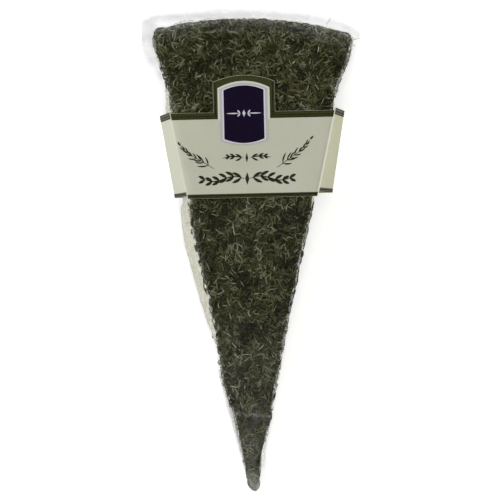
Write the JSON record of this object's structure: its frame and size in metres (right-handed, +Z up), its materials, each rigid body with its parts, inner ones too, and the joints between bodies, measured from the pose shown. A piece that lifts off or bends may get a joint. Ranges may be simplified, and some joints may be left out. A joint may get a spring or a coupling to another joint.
{
  "type": "cheese wedge in a card sleeve",
  "caption": "Narrow wedge of goat gouda in a rosemary coat, vacuum sealed in clear film, with a printed card sleeve round it.",
  "frame": {"origin": "middle of the pack's box on the surface it lies on, under its flat back", "axes": "+Y along the wedge from its point to its rind, +X across it, +Z up out of its herb-coated face"},
  "size_m": [0.06, 0.1338, 0.0428],
  "materials": {
    "sealed_pack": "clear film, clinging, over chopped dried rosemary and cream cheese",
    "card_sleeve": "smooth printed card, cream with olive borders"
  },
  "bodies": {
    "root": {"sealed_pack": "sealed_pack", "card_sleeve": "card_sleeve"}
  },
  "joints": []
}
